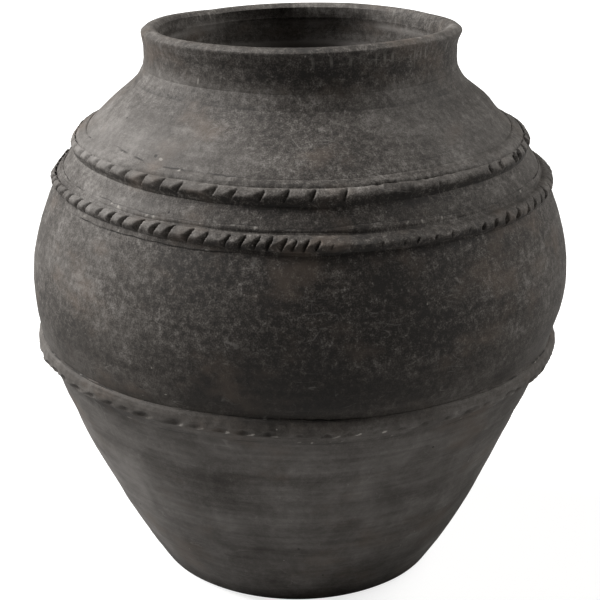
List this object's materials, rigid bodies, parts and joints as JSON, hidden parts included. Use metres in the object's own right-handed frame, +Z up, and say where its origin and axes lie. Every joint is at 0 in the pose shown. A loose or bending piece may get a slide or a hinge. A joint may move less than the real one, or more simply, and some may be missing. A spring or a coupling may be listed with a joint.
{
  "type": "clay jar",
  "caption": "Wide-bellied black clay jar with a short straight neck, a rolled lip, a narrow flat foot and three nicked clay ropes around its shoulder and belly.",
  "frame": {"origin": "centre of the circle on the ground that the foot stands on", "axes": "+Z up along the jar's axis, from the foot to the mouth; +X to the right and +Y away, as the jar is first seen"},
  "size_m": [0.45, 0.45, 0.465],
  "materials": {
    "wall_clay": "dry matt black-grey fired clay, wiped smooth, with chalky bloom and turning streaks",
    "lip_clay": "dry matt black-grey fired clay, rubbed smooth, with pale specks on the edge",
    "bed_clay": "dry matt black-grey fired clay, smeared by hand, cracked at the edges",
    "rope_clay": "dry matt black-grey fired clay, pinched by hand, dark in the nicks"
  },
  "bodies": {
    "root": {"base_plate": "wall_clay", "base_corner_coil": "wall_clay", "lower_wall_course_1": "wall_clay", "lower_wall_course_2": "wall_clay", "lower_wall_course_3": "wall_clay", "lower_wall_course_4": "wall_clay", "belly_course_1": "wall_clay", "belly_course_2": "wall_clay", "belly_course_3": "wall_clay", "band_course": "wall_clay", "shoulder_course_1": "wall_clay", "shoulder_course_2": "wall_clay", "neck_collar": "wall_clay", "neck_seam_coil": "wall_clay", "lip_coil": "lip_clay", "lower_rope_bed": "bed_clay", "lower_rope": "rope_clay", "middle_rope_bed": "bed_clay", "middle_rope": "rope_clay", "upper_rope_bed": "bed_clay", "upper_rope": "rope_clay"}
  },
  "joints": []
}
